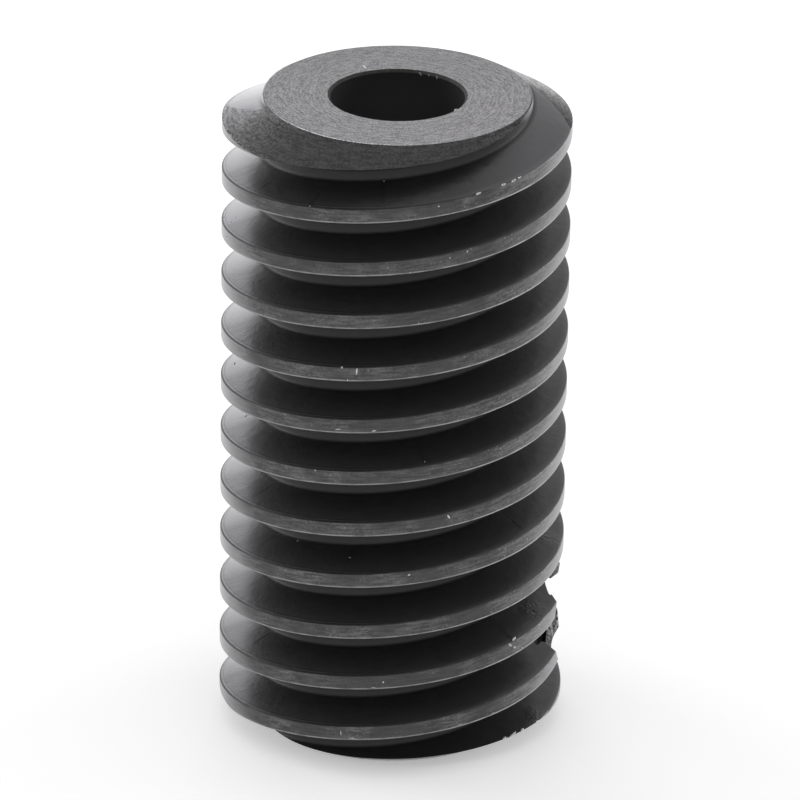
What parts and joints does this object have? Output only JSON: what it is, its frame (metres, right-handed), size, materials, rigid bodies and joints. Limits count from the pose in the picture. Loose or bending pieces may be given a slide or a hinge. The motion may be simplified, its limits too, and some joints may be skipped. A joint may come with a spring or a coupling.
{
  "type": "worm",
  "caption": "Cylindrical shell worm with a right-hand two-start thread, plain bore, chamfered ends and a radial tapped hole.",
  "frame": {"origin": "centre of the lower end face, on the worm's axis", "axes": "+Z along the worm's axis, from the end with the radial hole to the other end; +X along the radial hole"},
  "size_m": [0.0156, 0.0156, 0.03],
  "materials": {
    "blackened_steel": "black oxide over turned steel"
  },
  "bodies": {
    "root": {"worm": "blackened_steel"}
  },
  "joints": []
}
